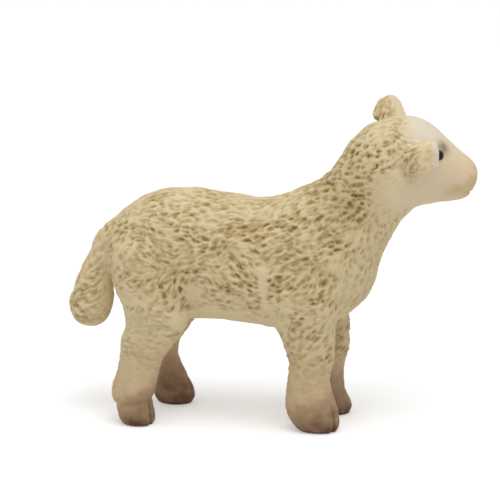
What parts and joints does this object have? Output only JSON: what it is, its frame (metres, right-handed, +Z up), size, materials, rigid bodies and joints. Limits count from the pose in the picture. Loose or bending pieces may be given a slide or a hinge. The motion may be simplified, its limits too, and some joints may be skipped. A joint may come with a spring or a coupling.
{
  "type": "toy farm animal figure",
  "caption": "Small standing toy lamb with a fleecy cream body, smooth pale face, glossy dark eyes, cloven brown hooves and a hanging club-shaped tail.",
  "frame": {"origin": "on the ground, under the middle of the figure's bounding box", "axes": "+X towards the head, +Y to the lamb's left, +Z up"},
  "size_m": [0.0487, 0.0153, 0.0387],
  "materials": {
    "fleece_paint": "cream soft plastic with an ochre wash in the fleece, matt",
    "face_paint": "pale cream soft plastic with a peach tint at the nose and mouth, matt",
    "hoof_paint": "brown airbrushed paint, darker at the sole edge, matt",
    "eye_gloss": "black gloss"
  },
  "bodies": {
    "root": {"torso": "fleece_paint", "head": "face_paint", "left_ear": "fleece_paint", "right_ear": "fleece_paint", "tail": "fleece_paint", "front_left_leg": "fleece_paint", "front_right_leg": "fleece_paint", "hind_left_leg": "fleece_paint", "hind_right_leg": "fleece_paint", "front_left_hoof": "hoof_paint", "front_right_hoof": "hoof_paint", "hind_left_hoof": "hoof_paint", "hind_right_hoof": "hoof_paint", "left_eye": "eye_gloss", "right_eye": "eye_gloss"}
  },
  "joints": []
}
